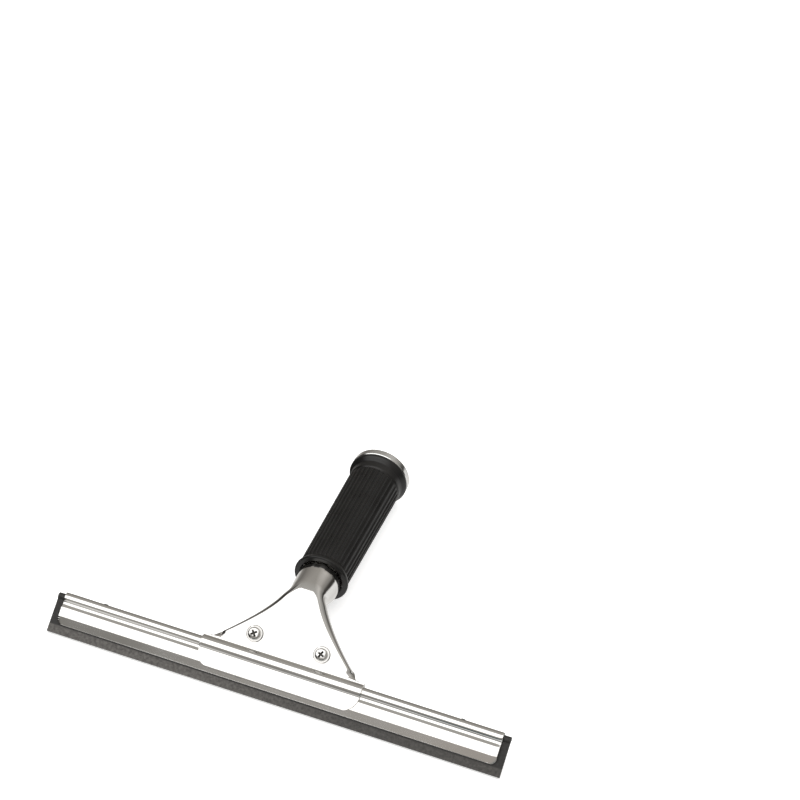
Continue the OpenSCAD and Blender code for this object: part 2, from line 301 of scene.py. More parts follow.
def soften(path, window, step=0.1, keep=0.3):
    """Rounds the corners of a path over a window, and thins its points to the kept step."""
    fine = walk(path, step)
    reach = max(1, int(round(window / step / 2)))
    before = fine[0] - (fine[1] - fine[0]) * np.arange(reach, 0, -1)[:, None]
    after = fine[-1] + (fine[-1] - fine[-2]) * np.arange(1, reach + 1)[:, None]
    padded = np.vstack([before, fine, after])
    kernel = np.hanning(2 * reach + 3)[1:-1]
    kernel /= kernel.sum()
    smooth = np.stack([np.convolve(padded[:, k], kernel, "valid") for k in range(2)], -1)
    return walk(smooth, keep)


def smoothstep(x):
    """0 before 0, 1 after 1, and a soft step between."""
    x = np.clip(x, 0, 1)
    return x * x * (3 - 2 * x)


def groove_angle(offset):
    """Where the moved tube meets the groove, in degrees from straight down."""
    return math.degrees(math.asin((groove_half + offset) / (bead_tube_r + offset)))


def half_length(height, length, low, corner_r):
    """Half the length of an outline with round lower corners, at a height."""
    drop = np.clip(corner_r - (np.asarray(height) - low), 0, corner_r)
    return length / 2 - corner_r + np.sqrt(corner_r**2 - drop**2)


# %% [markdown]
# ## Stainless steel
# Polished sheet is a mirror with a direction: rolling leaves hair-fine lines along its length, and
# hands leave faint cloudy patches. The lines are a noise stretched along X in Object coordinates, so
# they stay on the piece, and only nudge the roughness and the bump. The colour varies by a hair
# between warm and cool. The screws' cross is a pocket that little light reaches, so it is darker.

# %% Steel
NOISE_MIDDLE = (0.35, 0.65)  # most of a noise's values lie between these


def node_material(name):
    """A new material and its Principled shader."""
    material = bpy.data.materials.new(name)
    material.use_nodes = True
    return material, material.node_tree.nodes["Principled BSDF"]


def scaled_noise(tree, scale, size, detail=3.0, roughness=0.55):
    """A noise on Object coordinates, stretched by a scale on each axis."""
    place = tree.nodes.new("ShaderNodeTexCoord")
    mapping = tree.nodes.new("ShaderNodeMapping")
    mapping.inputs["Scale"].default_value = scale
    noise = tree.nodes.new("ShaderNodeTexNoise")
    noise.inputs["Scale"].default_value = size
    noise.inputs["Detail"].default_value = detail
    noise.inputs["Roughness"].default_value = roughness
    tree.links.new(place.outputs["Object"], mapping.inputs["Vector"])
    tree.links.new(mapping.outputs["Vector"], noise.inputs["Vector"])
    return noise


def map_range(tree, source, low, high, to_low=0.0, to_high=1.0):
    """Maps a range of a value onto another range, which is 0 to 1 where not given."""
    ramp = tree.nodes.new("ShaderNodeMapRange")
    for name, value in (
        ("From Min", low), ("From Max", high), ("To Min", to_low), ("To Max", to_high)
    ):
        ramp.inputs[name].default_value = value
    tree.links.new(source, ramp.inputs["Value"])
    return ramp.outputs["Result"]


def spread(tree, source, low, high):
    """Maps a noise's middle range onto two values."""
    return map_range(tree, source.outputs["Fac"], *NOISE_MIDDLE, low, high)


def colour_ramp(tree, source, stops):
    """Turns a value into a colour, from (place, colour) stops in rising order."""
    ramp = tree.nodes.new("ShaderNodeValToRGB")
    points = ramp.color_ramp.elements
    for k, (place, colour) in enumerate(stops):
        point = points[k] if k < 2 else points.new(place)
        point.position = place
        point.color = (*colour, 1)
    tree.links.new(source, ramp.inputs["Fac"])
    return ramp.outputs["Color"]


def tint(tree, source, first, second):
    """Runs a noise between two colours."""
    return colour_ramp(tree, source.outputs["Fac"], zip(NOISE_MIDDLE, (first, second)))


def mix_colours(tree, share, first, second):
    """Mixes a colour with another by a share; the second may be three plain numbers."""
    mix = tree.nodes.new("ShaderNodeMix")
    mix.data_type = "RGBA"
    tree.links.new(share, mix.inputs["Factor"])
    tree.links.new(first, mix.inputs[6])
    if isinstance(second, tuple):
        mix.inputs[7].default_value = (*second, 1)
    else:
        tree.links.new(second, mix.inputs[7])
    return mix.outputs[2]


def bump(tree, shader, source, strength, distance):
    """Feeds a noise to the shader as a bump."""
    node = tree.nodes.new("ShaderNodeBump")
    node.inputs["Strength"].default_value = strength
    node.inputs["Distance"].default_value = distance
    tree.links.new(source.outputs["Fac"], node.inputs["Height"])
    tree.links.new(node.outputs["Normal"], shader.inputs["Normal"])


# painted shade: the dark tone of a recess that little light reaches
RECESS_SHADE_TONE = (0.05, 0.048, 0.045)


def steel(name, warm, cool, polish, lines, grain=(6, 900, 900), recess=None):
    """Polished steel: clouds of roughness, fine lines along the grain, and painted shade in recesses."""
    material, shader = node_material(name)
    tree = material.node_tree
    shader.inputs["Metallic"].default_value = 1.0
    clouds = scaled_noise(tree, (1, 1, 1), 38.0, detail=4)
    streaks = scaled_noise(tree, grain, 1.0, detail=2)
    colour = tint(tree, clouds, warm, cool)
    if recess:
        mask = tree.nodes.new("ShaderNodeAttribute")
        mask.attribute_name = recess
        colour = mix_colours(tree, mask.outputs["Fac"], colour, RECESS_SHADE_TONE)
    tree.links.new(colour, shader.inputs["Base Color"])
    both = tree.nodes.new("ShaderNodeMath")
    both.operation = "ADD"
    tree.links.new(spread(tree, clouds, *polish), both.inputs[0])
    tree.links.new(spread(tree, streaks, 0, lines), both.inputs[1])
    tree.links.new(both.outputs["Value"], shader.inputs["Roughness"])
    bump(tree, shader, streaks, 0.25, 2e-6)
    return material


STAINLESS = (0.80, 0.785, 0.76), (0.86, 0.852, 0.838)
jaw_steel = steel("jaw_steel", *STAINLESS, (0.05, 0.10), 0.03)
channel_steel = steel("channel_steel", *STAINLESS, (0.04, 0.09), 0.04)
tube_steel = steel(
    "tube_steel", (0.76, 0.74, 0.71), (0.82, 0.81, 0.79), (0.12, 0.2), 0.05, (700, 20, 700)
)
ring_steel = steel(
    "ring_steel", (0.86, 0.855, 0.84), (0.92, 0.92, 0.91), (0.10, 0.18), 0.05, (300, 900, 300)
)
# the screws' cross recess gets painted shade
screw_steel = steel(
    "screw_steel", (0.72, 0.71, 0.69), (0.82, 0.81, 0.79), (0.08, 0.15), 0.04, (500, 500, 500),
    recess="recess"
)
# painted shade: the washers' steel is a darker copy of the screws' steel
washer_steel = steel(
    "washer_steel", (0.56, 0.55, 0.535), (0.68, 0.67, 0.655), (0.12, 0.22), 0.05, (700, 700, 700)
)
nut_steel = steel(
    "nut_steel", (0.50, 0.49, 0.47), (0.60, 0.585, 0.55), (0.25, 0.4), 0.08, (500, 500, 500)
)
spring_steel = steel(
    "spring_steel", (0.10, 0.098, 0.095), (0.16, 0.157, 0.15), (0.3, 0.45), 0.08, (40, 900, 900)
)
print("steels made")

# %% [markdown]
# ## Rubber
# Two rubbers: the blade is soft natural rubber with a matt, slightly dusty face, and the grip is a
# harder moulded rubber with a faint sheen that picks out its ribs. Both get a fine grain as bump,
# and slow changes of colour and roughness. The blade is also darker towards its right end, and it
# carries a painted shadow: a dark line just under the channel's lip.

# %% Rubber and plastic
# painted shadow: the tone of the dark line that the channel's lip casts on the blade
LIP_SHADOW_TONE = (0.018, 0.017, 0.016)
DARK_END_SHARE = 0.56  # how much of its brightness the blade's darker right end keeps


def painted_lip_shadow(tree, place, colour):
    """Paints a shadow on the rubber along the channel's lip: a dark line just under the steel's edge."""
    height = tree.nodes.new("ShaderNodeVectorMath")
    height.operation = "DOT_PRODUCT"
    height.inputs[1].default_value = UP_BLADE
    tree.links.new(place.outputs["Object"], height.inputs[0])
    edge_height = float(EDGE @ UP_BLADE)
    # the painted shadow comes in between these two heights, just under the lip
    shadow_from, shadow_full = (edge_height + (lip_v - below) * MM for below in (1.0, 0.3))
    line = map_range(tree, height.outputs["Value"], shadow_from, shadow_full)
    return mix_colours(tree, line, colour, LIP_SHADOW_TONE)


def rubber(name, dark, light, rough, grain_size, depth, specular=0.5, dust_size=60.0, darker_along_x=None):
    """A dark elastomer: dusty patches and a fine grain; the last argument darkens it along X."""
    material, shader = node_material(name)
    tree = material.node_tree
    shader.inputs["Metallic"].default_value = 0.0
    shader.inputs["IOR"].default_value = 1.5
    shader.inputs["Specular IOR Level"].default_value = specular
    dust = scaled_noise(tree, (1, 1, 1), dust_size, detail=5, roughness=0.6)
    grain = scaled_noise(tree, (1, 1, 1), grain_size, detail=3)
    colour = tint(tree, dust, dark, light)
    # the blade's colour turns darker towards its right end
    if darker_along_x:
        place = tree.nodes.new("ShaderNodeTexCoord")
        along = tree.nodes.new("ShaderNodeSeparateXYZ")
        tree.links.new(place.outputs["Object"], along.inputs["Vector"])
        fade = map_range(tree, along.outputs["X"], *darker_along_x)
        dark_end_tint = tint(tree, dust, *([DARK_END_SHARE * c for c in tone] for tone in (dark, light)))
        # the painted lip shadow goes over the blade's colour
        colour = painted_lip_shadow(tree, place, mix_colours(tree, fade, colour, dark_end_tint))
    tree.links.new(colour, shader.inputs["Base Color"])
    tree.links.new(spread(tree, dust, *rough), shader.inputs["Roughness"])
    bump(tree, shader, grain, 0.35, depth)
    return material


blade_rubber = rubber(
    "blade_rubber", (0.056, 0.052, 0.048), (0.142, 0.135, 0.126), (0.5, 0.66), 1500, 3e-5,
    dust_size=700.0, darker_along_x=(-0.03, 0.05),
)
grip_rubber = rubber(
    "grip_rubber", (0.0075, 0.0072, 0.0068), (0.0125, 0.012, 0.0115), (0.26, 0.36), 1800, 2e-5, 0.42
)
socket_plastic = rubber(
    "socket_plastic", (0.016, 0.016, 0.017), (0.024, 0.024, 0.026), (0.4, 0.55), 900, 2e-5
)
print("rubbers made")

# %% [markdown]
# ## The rubber blade
# A squeegee rubber is one extrusion: a flat web with a square working edge, and a round bead along
# its other side that is trapped in the channel. Its section is drawn once and carried along X. The
# edges are eased by only a tenth of a millimetre, because a squeegee needs them sharp.

# %% Blade
def extrude_section(name, section, length, ease):
    """Carries a closed (height, depth) section along the blade, with eased ends."""
    section = np.asarray(section, float)
    middle = section.mean(0)
    size = np.abs(section - middle).max()
    ends = [-length / 2, -length / 2 + ease, length / 2 - ease, length / 2]
    shrink = [1 - ease / size * 0.5, 1, 1, 1 - ease / size * 0.5]
    rows = []
    for x, k in zip(ends, shrink):
        shape = middle + (section - middle) * k
        rows.append(np.column_stack([np.full(len(shape), x), shape]))
    return closed_mesh(name, blade_points(rows))


corner = 0.12
neck_angle = math.degrees(math.asin(web_t / bead_d))
blade_section = np.vstack([
    [(corner, -web_t / 2), (0, -web_t / 2 + corner), (0, web_t / 2 - corner), (corner, web_t / 2)],
    [(bend_v, web_t / 2)],
    arc((bead_v, 0), bead_d / 2, 180 - neck_angle, -180 + neck_angle, 32),
    [(bend_v, -web_t / 2)],
])
strip_mesh = extrude_section("rubber_strip", blade_section, blade_len, ease=corner)
blade = add_piece(strip_mesh, blade_rubber)
sharpen(blade, 35)
print("blade:", len(blade.data.polygons), "faces")

# %% [markdown]
# ## The channel
# The channel is flat strip folded along its length: two lips, two flanks, a groove on each side that
# pinches the web, and a tube round the bead. One path is walked from lip to lip and used for every
# cross-section. The ends follow the rounded corners, and the strip gets its thickness last, so that
# its cut edges catch the light. Two small slots in its top take the clips' tangs.

# %% Channel
channel_corner_r = 3.0
channel_half = np.vstack([
    [(lip_v, web_t / 2 + slip + wall), (bend_v, flank_half + wall / 2)],
    [(groove_v - 2, flank_half + wall / 2), (groove_v, groove_half + wall / 2)],
    arc((tube_v, 0), bead_tube_r + wall / 2, 180 - groove_angle(wall / 2), 0, 24),
])
channel_path = np.vstack([channel_half, (channel_half[:-1] * [1, -1])[::-1]])
channel_path = soften(channel_path, 0.9, keep=0.28)
end_steps = np.r_[0, 0.01, 0.03, 0.1, 0.5, 0.9, 0.97, 0.99, 1]
reach = half_length(channel_path[:, 0], channel_len, lip_v, channel_corner_r)
channel_grid = np.stack([
    (2 * end_steps[None, :] - 1) * reach[:, None],
    np.repeat(channel_path[:, 0:1], len(end_steps), 1),
    np.repeat(channel_path[:, 1:2], len(end_steps), 1),
], -1)
channel = add_piece(grid_mesh("folded_channel", blade_points(channel_grid)), channel_steel)


def face_away_from(piece, inside):
    """Turns a surface so that its middle face looks away from a point inside it."""
    work = bmesh.new()
    work.from_mesh(piece.data)
    bmesh.ops.recalc_face_normals(work, faces=work.faces)
    work.faces.ensure_lookup_table()
    middle = work.faces[len(work.faces) // 2]
    if (middle.calc_center_median() - Vector(inside)).dot(middle.normal) < 0:
        bmesh.ops.reverse_faces(work, faces=work.faces)
    work.to_mesh(piece.data)
    work.free()


face_away_from(channel, blade_points([0, tube_v, 0]))
thicken(channel, wall, edge=0.29, segments=4)
clip_boxes = [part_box(name) for name in ("left_clip", "right_clip")]
clip_xs = [(low.x + high.x) / 2 / MM for low, high in clip_boxes]


def block(middle, size):
    """A box to cut with, given in the blade's plane in millimetres."""
    corners = [(sx, sy, sz) for sx in (-0.5, 0.5) for sy in (-0.5, 0.5) for sz in (-0.5, 0.5)]
    points = blade_points([[m + s * d for m, s, d in zip(middle, signs, size)] for signs in corners])
    faces = [(0, 1, 3, 2), (4, 6, 7, 5), (0, 4, 5, 1), (2, 3, 7, 6), (0, 2, 6, 4), (1, 5, 7, 3)]
    mesh = bpy.data.meshes.new("block")
    mesh.from_pydata(points.tolist(), [], faces)
    face_outwards(mesh)
    return add_piece(mesh)


tang_len = 2.0
tang_w = 1.6
slot_size = (tang_len + slip, 3 * wall, tang_w + slip)
cut(channel, [block((x, tube_v + bead_tube_r, 0), slot_size) for x in clip_xs])
sharpen(channel, 40)
print("channel:", len(channel.data.polygons), "faces; clips at x =", [round(x, 1) for x in clip_xs])

# %% [markdown]
# ## The jaws
# The front jaw is one pressing. Its lower part wraps the channel, the plate above carries the screws
# and has its edges folded back for stiffness, and the neck rolls into a tube. As one grid of points
# it needs only a rule for each row: how wide the flat face is, how tight the fold is, how far it
# wraps and how long the wall behind it is. The wall lies flat at the saddle and wraps almost all the
# way round on the neck.

# %% Front jaw
plate_half = 42.0
waist_half = 9.2
waist_v = 66.0
wall_depth = 6.0
fold_low, fold_high = 2.8, 5.0  # the fold's radius at the plate's foot, and near the neck
fold_grows = (30.0, 56.0)
wrap_low, wrap_more = 4, 86  # degrees of fold at the plate's foot, and how much is added above
widest_fold_r = 40
seam_leg = 0.15
bend_start = elbow_v - elbow_r * math.tan(TILT / 2)
bend_run = elbow_r * TILT
tube_start = 16.0
round_from = bend_start - 2
round_to = bend_start + bend_run + tube_start - elbow_r * math.tan(TILT / 2)
SEAM = math.radians(174)
fold_out = 6.0
OUTLINE_SLOPE = 0.25  # the outline runs straight for an eye this far to one side
outline_share = 0.9
least_flat = 0.02


def plate_edge(run):
    """Half the front plate's width at a height."""
    share = np.clip((waist_v - run) / (waist_v - plate_v0), 0, None)
    return waist_half + (plate_half - waist_half) * share**1.5


def jaw_row(run, columns):
    """(across, depth behind the face) of one row of the front jaw's plate and neck."""
    flat_share, fold_share, leg_share = columns
    k = float(smoothstep((run - round_from) / (round_to - round_from)))
    rise = float(smoothstep((run - plate_v0) / fold_out))
    plate_wrap = math.radians(wrap_low + wrap_more * rise)
    wrap = (1 - k) * plate_wrap + k * SEAM
    fold_r = fold_low + (fold_high - fold_low) * float(
        smoothstep((run - fold_grows[0]) / (fold_grows[1] - fold_grows[0]))
    )
    bow = fold_r * math.pi / 2
    radius = (1 - k) * min(bow / plate_wrap, widest_fold_r) + k * tube_r
    leg = (1 - k) * (wall_depth - fold_r) * (0.65 + 0.35 * rise) + k * seam_leg
    turn = wrap * fold_share
    fold = np.stack([radius * np.sin(turn), radius * (1 - np.cos(turn))], -1)
    wall_line = fold[-1] + leg * leg_share[:, None] * np.array([math.cos(wrap), math.sin(wrap)])
    side = np.vstack([fold[1:], wall_line[1:]])
    reach = (side @ [1, -OUTLINE_SLOPE]).max() + OUTLINE_SLOPE * outline_share * fold_r
    flat = max(least_flat, (plate_edge(run) - (reach if rise < 1 else fold_r)) * (1 - k))
    face = np.stack([flat * flat_share, np.zeros_like(flat_share)], -1)
    half = np.vstack([face, side + [flat, 0]])
    return np.vstack([(half * [-1, 1])[:0:-1], half])


def front_line(run):
    """(height, depth, lean) of the front face's middle line."""
    lean = min(TILT, max(0.0, (run - bend_start) / elbow_r))
    past = max(0.0, run - bend_start - bend_run)
    if run < bend_start:
        return run, front_n, 0.0
    return (
        bend_start + elbow_r * math.sin(lean) + past * math.cos(lean),
        front_n - elbow_r * (1 - math.cos(lean)) - past * math.sin(lean),
        lean,
    )


lip_tuck = 0.3
pinch_run = 3.2


def saddle_outline(side):
    """The saddle's outer face on one side, from its lip over the bead to the plate's foot."""
    outer = saddle_off + sheet / 2
    stop = math.degrees(math.asin(front_n / (bead_tube_r + outer)))
    side_n = flank_half + outer
    path = np.vstack([
        [(saddle_lip_v, side_n - lip_tuck), (saddle_lip_v + 0.8, side_n - lip_tuck / 5)],
        [(bend_v, side_n), (groove_v - pinch_run, side_n), (groove_v, groove_half + outer)],
        arc((tube_v, 0), bead_tube_r + outer, 180 - groove_angle(outer), stop, 24),
        [(plate_v0 + 1.5, front_n)],
    ])
    return soften(path, 0.8, keep=0.22) * [1, side]


def level_row(across, height, depth):
    """A row of points at one height and depth."""
    return np.column_stack([across, np.full(len(across), height), np.full(len(across), depth)])


def saddle_rows(side, top, shares):
    """The saddle's rows of points up to a height, spread over its length by their shares."""
    line = saddle_outline(side)
    line = line[line[:, 0] < top]
    reach = half_length(line[:, 0], saddle_w, saddle_lip_v, saddle_corner_r)
    return [level_row(shares * half, v, n) for (v, n), half in zip(line, reach)]


sliver = 0.04
columns = (np.linspace(0, 1, 9), np.linspace(0, 1, 25), np.linspace(0, 1, 6))
first_row = jaw_row(plate_v0, columns)
jaw_rows = saddle_rows(1, plate_v0 + 0.5, first_row[:, 0] / first_row[-1, 0])
runs = np.r_[
    np.linspace(plate_v0 + 0.8, plate_v0 + fold_out, 12),
    np.linspace(plate_v0 + fold_out, round_from, 30)[1:],
    np.linspace(round_from, round_to, 40)[1:],
    round_to + 6,
]
for run in runs:
    v, n, lean = front_line(run)
    row = jaw_row(run, columns)
    jaw_rows.append(np.column_stack([
        row[:, 0], v - row[:, 1] * math.sin(lean), n - row[:, 1] * math.cos(lean)
    ]))


def face_towards(piece, direction):
    """Welds slivers and turns a surface so that its widest faces look along a direction."""
    work = bmesh.new()
    work.from_mesh(piece.data)
    bmesh.ops.remove_doubles(work, verts=work.verts, dist=sliver * MM)
    bmesh.ops.recalc_face_normals(work, faces=work.faces)
    toward = sum(face.calc_area() * face.normal.dot(Vector(direction)) for face in work.faces)
    if toward < 0:
        bmesh.ops.reverse_faces(work, faces=work.faces)
    work.to_mesh(piece.data)
    work.free()


def pressed_jaw(name, rows, direction):
    """A jaw from its rows of points: set in the frame, given its thickness and drilled."""
    mesh = grid_mesh(name, blade_points(np.array(rows) + [HEAD_X, 0, 0]))
    jaw = add_piece(mesh, jaw_steel)
    face_towards(jaw, direction)
    thicken(jaw, sheet)
    cut(jaw, [drill(point, FACE, screw_hole_r, 12) for point in screw_points])
    sharpen(jaw, 40)
    return jaw


front_jaw = pressed_jaw("pressed_front_jaw", jaw_rows, FACE)
print("front jaw:", len(front_jaw.data.polygons), "faces")

# %% [markdown]
# The back jaw is the plain twin: the same saddle, turned to the other side, and a flat plate that
# stops below the neck and drops between the front jaw's folded walls.

# %% Back jaw
back_top_v = 50.0
back_inset = sheet + 2 * slip
back_corner_r = 4
across = np.linspace(-1, 1, 31)
back_rows = saddle_rows(-1, plate_v0, across)
for run in np.linspace(plate_v0 + 0.1, back_top_v, 26):
    edge_here = float(plate_edge(run)) - back_inset
    near_top = max(0.0, run - (back_top_v - back_corner_r)) / back_corner_r
    edge_here -= back_corner_r * (1 - math.sqrt(1 - near_top**2))
    back_rows.append(level_row(across * edge_here, run, -front_n))
back_jaw = pressed_jaw("pressed_back_jaw", back_rows, -FACE)
print("back jaw:", len(back_jaw.data.polygons), "faces")

# %% [markdown]
# ## The grip
# The grip is moulded rubber: a sleeve with a thick lip at its mouth, a smooth collar below a flared
# rim, and fine ribs along its length. The sleeve is an outline turned round the axis. The ribs have
# one shape at even angles: one is modelled, and Geometry Nodes turn an instance for each of them.

# %% Grip sleeve
low_r, high_r, lip_r = tube_r + 2.4, tube_r + 3.2, tube_r + 3.5
rib_h = 0.7
collar_start = grip_end - 9.0


def ribbed_radius(distance):
    """The radius at the ribs' crests, along the handle."""
    share = (distance - grip_start - 6) / (collar_start - grip_start - 6)
    return low_r + (high_r - low_r) * np.clip(share, 0, 1)


sleeve = np.array([
    (tube_r + 0.05, grip_start + 5.2),
    (tube_r + 0.12, grip_start + 3.0),
    (tube_r + 0.15, grip_start + 0.6),
    (tube_r + 0.35, grip_start),
    (lip_r - 0.5, grip_start),
    (lip_r, grip_start + 0.5),
    (lip_r - 0.1, grip_start + 1.6),
    (lip_r - 0.8, grip_start + 2.9),
    (low_r - rib_h, grip_start + 4.4),
    (high_r - rib_h, collar_start),
    (high_r - 0.1, collar_start + 0.9),
    (high_r, collar_start + 5.0),
    (ring_r - 0.6, grip_end - 2.6),
    (ring_r, grip_end - 1.8),
    (ring_r, grip_end - 0.5),
    (ring_r - 0.5, grip_end),
    (tube_r + 0.05, grip_end),
])
sleeve = soften(np.vstack([sleeve, sleeve[:1]]), 0.7, step=0.08, keep=0.35)[:-1]
grip_sleeve = add_piece(revolve("grip_sleeve", sleeve, steps=144), grip_rubber)
print("sleeve:", len(grip_sleeve.data.polygons), "faces")

# %% [markdown]
# One rib is a long low bar whose crest follows the sleeve's slight taper and dies away at both ends.
# It is drawn about the handle's axis, so the tree only has to turn copies of it.

# %% One rib
rib_count = 32
rib_w = 1.35
rib_from, rib_to = grip_start + 3.0, collar_start + 0.5


def rib_mesh():
    """A rib along a local Z axis, standing out along local X."""
    stations = np.r_[
        rib_from, rib_from + 0.8, rib_from + 2.2,
        np.linspace(rib_from + 4, rib_to - 3, 6), rib_to - 1.2, rib_to,
    ]
    rise = smoothstep((stations - rib_from) / 2.4) * smoothstep((rib_to - stations) / 1.6)
    around = np.radians(np.linspace(0, 180, 8))
    rows = []
    for z, k in zip(stations, rise):
        foot = ribbed_radius(z) - rib_h - 0.25
        x = foot + (0.02 + (rib_h + 0.23) * k) * np.sin(around) ** 0.7
        y = -rib_w / 2 * np.cos(around)
        rows.append(np.column_stack([x, y, np.full(len(around), z)]) * MM)
    return closed_mesh("rib", rows)


rib = add_piece(rib_mesh())
print("rib:", len(rib.data.polygons), "faces")

# %% [markdown]
# The tree makes one point for each rib, all on the axis, and each point's index becomes the turn of
# its instance. Realize Instances makes real geometry of them, and Set Material gives the rubber.

# %% Rib tree
def socket_id(tree, name):
    """The identifier of a tree's input, by which a modifier sets it."""
    return next(
        item.identifier for item in tree.interface.items_tree
        if item.name == name and item.in_out == "INPUT"
    )


def turned_copies_tree(name, material):
    """A Geometry Nodes tree that turns copies of an object round local Z."""
    tree = bpy.data.node_groups.new(name, "GeometryNodeTree")
    tree.interface.new_socket("Copies", in_out="INPUT", socket_type="NodeSocketInt")
    tree.interface.new_socket("Shape", in_out="INPUT", socket_type="NodeSocketObject")
    tree.interface.new_socket("Geometry", in_out="OUTPUT", socket_type="NodeSocketGeometry")
    nodes, link = tree.nodes, tree.links.new
    given = nodes.new("NodeGroupInput")
    result = nodes.new("NodeGroupOutput")
    points = nodes.new("GeometryNodePoints")
    link(given.outputs["Copies"], points.inputs["Count"])
    index = nodes.new("GeometryNodeInputIndex")
    turn_step = nodes.new("ShaderNodeMath")
    turn_step.operation = "DIVIDE"
    turn_step.inputs[0].default_value = 2 * math.pi
    link(given.outputs["Copies"], turn_step.inputs[1])
    turn = nodes.new("ShaderNodeMath")
    turn.operation = "MULTIPLY"
    link(index.outputs["Index"], turn.inputs[0])
    link(turn_step.outputs["Value"], turn.inputs[1])
    euler = nodes.new("ShaderNodeCombineXYZ")
    link(turn.outputs["Value"], euler.inputs["Z"])
    shape = nodes.new("GeometryNodeObjectInfo")
    link(given.outputs["Shape"], shape.inputs["Object"])
    copies = nodes.new("GeometryNodeInstanceOnPoints")
    link(points.outputs[0], copies.inputs["Points"])
    link(shape.outputs["Geometry"], copies.inputs["Instance"])
    link(euler.outputs["Vector"], copies.inputs["Rotation"])
    real = nodes.new("GeometryNodeRealizeInstances")
    link(copies.outputs["Instances"], real.inputs["Geometry"])
    paint = nodes.new("GeometryNodeSetMaterial")
    paint.inputs["Material"].default_value = material
    link(real.outputs["Geometry"], paint.inputs["Geometry"])
    link(paint.outputs["Geometry"], result.inputs["Geometry"])
    return tree


def turned_copies(name, shape, count, material, to_frame):
    """Copies of a shape round an axis, as one plain mesh placed by a matrix."""
    tree = turned_copies_tree(name + "_tree", material)
    holder = add_piece(bpy.data.meshes.new(name))
    modifier = holder.modifiers.new("copies", "NODES")
    modifier.node_group = tree
    modifier[socket_id(tree, "Copies")] = count
    modifier[socket_id(tree, "Shape")] = shape
    holder.update_tag()
    bpy.context.view_layer.update()
    bake_modifiers(holder)
    holder.data.transform(to_frame)
    bpy.data.objects.remove(shape)
    return holder


def frame_matrix(origin, x_axis, z_axis):
    """The matrix that takes local X and Z onto two directions at a point."""
    x, z = Vector(x_axis).normalized(), Vector(z_axis).normalized()
    y = z.cross(x)
    turn = Matrix((x, y, z)).transposed().to_4x4()
    return Matrix.Translation(Vector(origin)) @ turn


HANDLE_MATRIX = frame_matrix(AXIS_START, HANDLE_FRONT, HANDLE)
grip_ribs = turned_copies("grip_ribs", rib, rib_count, grip_rubber, HANDLE_MATRIX)
print("ribs:", len(grip_ribs.data.polygons), "faces")

# %% [markdown]
# ## End ring, tube and pole socket
# The ring is turned from bar and polished, so its edges are round and its face is slightly dished.
# The tube and the socket are plain shapes: they keep their design meshes and only get a finish.

# %% End ring
def ring_outline():
    """The ring's closed outline, as (radius, distance)."""
    inner, start, end = tube_r + 0.02, grip_end, handle_end
    edge = 1.4
    return np.vstack([
        [(inner, start), (ring_r - 0.3, start), (ring_r, start + 0.3)],
        arc((ring_r - edge, end - edge), edge, 0, 90, 10),
        [(tube_r + 1.2, end - 0.25), (inner, end - 0.05)],
    ])


end_ring = add_piece(revolve("turned_end_ring", ring_outline(), steps=160), ring_steel)
sharpen(end_ring, 35)
print("ring:", len(end_ring.data.polygons), "faces")

# %% [markdown]
# ## Screws, washers and nuts
# A pan-head machine screw has a low dome with a cross recess and a real thread on its shank. The
# thread is a helix: each turn round the shank climbs by the pitch, so one formula gives every point.
# The head's recess is cut by two crossed, tapered blades, and the points inside it are marked for
# the steel to get painted shade there. The two screws were tightened to different angles.

# %% Screw
screw_r = 2.0
thread_pitch = 0.7
head_r = 3.4
head_h = 2.2
washer_t = 1.0
washer_r = 4.6
dome_r = 8.0
head_edge_r = 0.62
thread_depth = 0.3
cross_depth = 1.7
cross_foot, cross_mouth = (0.9, 0.34), (2.35, 0.62)  # half its length and half its width
cross_turns = (38, 68)
screw_seat = front_n + washer_t + 0.1
screw_tip = screw_seat - 11.0


def round_z(radius, angle, height):
    """Metres about local Z, from a radius, an angle and a height in millimetres."""
    radius, angle, height = np.broadcast_arrays(radius, angle, height)
    return np.stack([radius * np.cos(angle), radius * np.sin(angle), height], -1) * MM


def thread_mesh(name):
    """A threaded shank about local Z, from the head's underside to a chamfered tip."""
    around, per_pitch = 32, 6
    heights = np.arange(screw_tip, screw_seat + 0.01, thread_pitch / per_pitch)
    turn = np.linspace(0, 2 * math.pi, around, endpoint=False)
    z, a = np.meshgrid(heights, turn, indexing="ij")
    phase = (z / thread_pitch - a / (2 * math.pi)) % 1
    depth = thread_depth * np.abs(2 * phase - 1)
    tip = np.clip((z - screw_tip) / 0.7, 0, 1)
    plain = np.clip((z - (screw_seat - 1.6)) / 0.4, 0, 1)
    radius = (screw_r - depth * (1 - plain)) * (0.72 + 0.28 * tip) - 0.01
    return closed_mesh(name, round_z(radius, a, z))


def head_mesh(name):
    """A pan head about local Z."""
    from_axis = math.degrees(math.asin((head_r - head_edge_r) / dome_r))
    dome = np.vstack([
        [(screw_r - 0.3, screw_seat - 0.02), (head_r - 0.12, screw_seat)],
        [(head_r, screw_seat + 0.12), (head_r, screw_seat + 0.95)],
        arc((head_r - head_edge_r, screw_seat + 1.0), head_edge_r, 5, 90 - from_axis - 4, 6),
        arc((0, screw_seat + head_h - dome_r), dome_r, 90 - from_axis, 89.8, 14),
    ])
    turn = np.linspace(0, 2 * math.pi, 64, endpoint=False)
    return closed_mesh(name, round_z(dome[:, 0:1], turn, dome[:, 1:2]))


